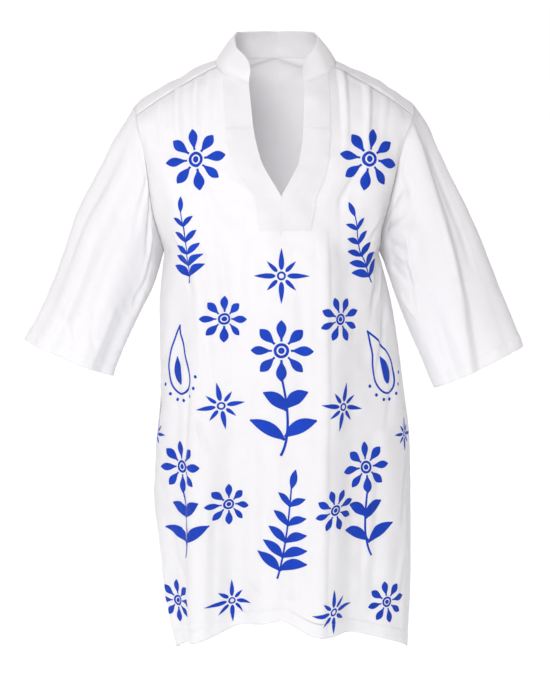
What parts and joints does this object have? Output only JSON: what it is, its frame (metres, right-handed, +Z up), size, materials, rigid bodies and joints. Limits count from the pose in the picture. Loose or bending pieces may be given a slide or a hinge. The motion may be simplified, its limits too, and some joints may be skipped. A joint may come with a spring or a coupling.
{
  "type": "kaftan tunic",
  "caption": "Short loose kaftan in thin white cotton, worn, with an open stand collar, a banded V neck, wide three-quarter sleeves and a pocket in the side seam.",
  "frame": {"origin": "on the shoulder line, midway between the neck points, where the wearer holds the garment up", "axes": "+Z up, the front faces -Y, and +X is towards the wearer's left"},
  "size_m": [0.7912, 0.266, 0.992],
  "materials": {
    "cloth": "plain-woven white cotton with a faint slub",
    "collar_cloth": "two layers of the same cotton, stiffened",
    "band_cloth": "the same cotton, sewn flat with lines of stitching"
  },
  "bodies": {
    "root": {"front": "cloth", "back": "cloth", "sleeve_right": "cloth", "sleeve_left": "cloth", "collar": "collar_cloth", "band_right": "band_cloth", "band_left": "band_cloth", "band_front": "band_cloth", "pocket_right": "cloth"}
  },
  "joints": []
}
